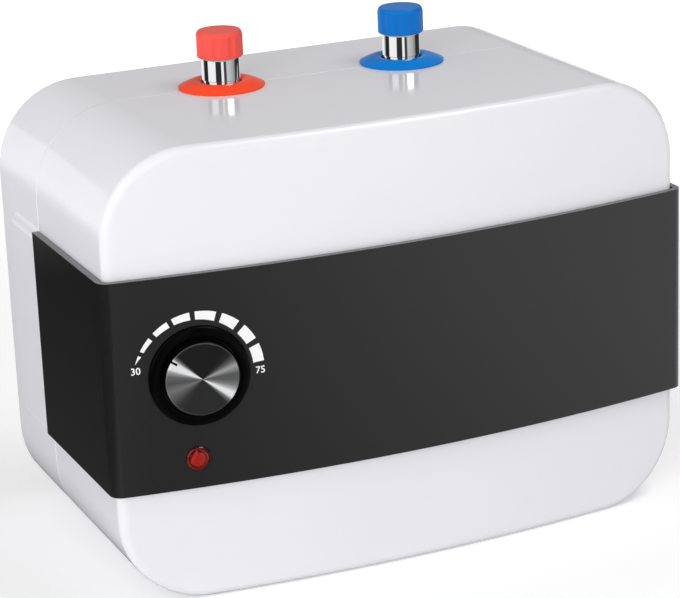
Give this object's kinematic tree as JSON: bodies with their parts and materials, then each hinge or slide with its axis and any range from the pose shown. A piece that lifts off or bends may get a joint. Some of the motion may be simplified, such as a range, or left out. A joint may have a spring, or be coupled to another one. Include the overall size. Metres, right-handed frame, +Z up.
{
  "type": "electric water heater",
  "caption": "Compact storage water heater for a sink: bowed white housing, dark wrap-round control band with a dial and a red lamp, and capped pipe stubs on top.",
  "frame": {"origin": "middle of the flat base, half way across the width and between the front corners and the back", "axes": "+X to the viewer's right, the bowed front faces -Y, +Z up along the pipe stubs"},
  "size_m": [0.34, 0.1943, 0.2775],
  "materials": {
    "housing_white": "glossy moulded white",
    "band_black": "satin moulded black",
    "trim_black": "smooth black",
    "spun_aluminium": "spun in circles",
    "steel": "plated steel",
    "cream_plastic": "moulded insulator",
    "lens_red": "clear red moulding",
    "lamp_glass": "small glow lamp",
    "chrome": "bright plated",
    "red": "moulded red",
    "blue": "moulded blue",
    "white_tube": "natural moulded tube",
    "foam": "stiff insulating foam",
    "gasket_rubber": "sheet rubber",
    "brass": "plain turned",
    "copper": "drawn copper",
    "zinc": "cast sacrificial metal",
    "dark_plastic": "moulded dark",
    "button_red": "moulded red",
    "lead_brown": "wire insulation",
    "lead_blue": "wire insulation",
    "lead_green": "wire insulation"
  },
  "bodies": {
    "heater": {"front_shell": "housing_white", "rear_shell": "housing_white", "control_band": "band_black", "dial_bezel": "trim_black", "thermostat_body": "cream_plastic", "thermostat_screws": "steel", "lamp_lens": "lens_red", "lamp_body": "lamp_glass", "lamp_clip": "steel", "hot_stub": "chrome", "cold_stub": "chrome", "hot_rosette": "red", "cold_rosette": "blue", "cold_dip_tube": "white_tube", "tank_left": "steel", "tank_right": "steel", "insulation_front": "foam", "insulation_rear": "foam", "flange_studs": "steel", "flange_gasket": "gasket_rubber", "element_flange": "brass", "flange_nuts": "steel", "heating_element": "copper", "terminal_bushes": "cream_plastic", "anode_rod": "zinc", "anode_nut": "steel", "sensor_pocket": "copper", "sensor_bulb": "copper", "capillary_tube": "copper", "thermal_cutout": "dark_plastic", "terminal_block": "cream_plastic", "terminal_screw": "steel", "supply_lead": "lead_brown", "limiter_lead": "lead_brown", "element_lead": "lead_brown", "neutral_lead": "lead_blue", "earth_lead": "lead_green", "cord_gland": "dark_plastic", "gland_nut": "dark_plastic", "shell_screws": "steel", "hanger_plate": "steel", "hanger_screws": "steel"},
    "knob": {"knob_body": "trim_black", "knob_face": "spun_aluminium", "thermostat_shaft": "steel"},
    "hot_cap": {"hot_cap": "red"},
    "cold_cap": {"cold_cap": "blue"},
    "reset_button": {"reset_button": "button_red"}
  },
  "joints": [
    {"name": "knob_turn", "type": "hinge", "parent": "heater", "child": "knob", "pos_m": [-0.1215, -0.09806, 0.126], "axis": [0.1221, 0.9925, 0], "range_deg": [-20, 140]},
    {"name": "hot_cap_lift", "type": "slide", "parent": "heater", "child": "hot_cap", "axis": [0, 0, 1], "range_m": [0, 0.045]},
    {"name": "cold_cap_lift", "type": "slide", "parent": "heater", "child": "cold_cap", "axis": [0, 0, 1], "range_m": [0, 0.045]},
    {"name": "reset_press", "type": "slide", "parent": "heater", "child": "reset_button", "axis": [1, 0, 0], "range_m": [0, 0.0015], "stiffness_N_per_m": 400, "springref_m": -0.001}
  ]
}
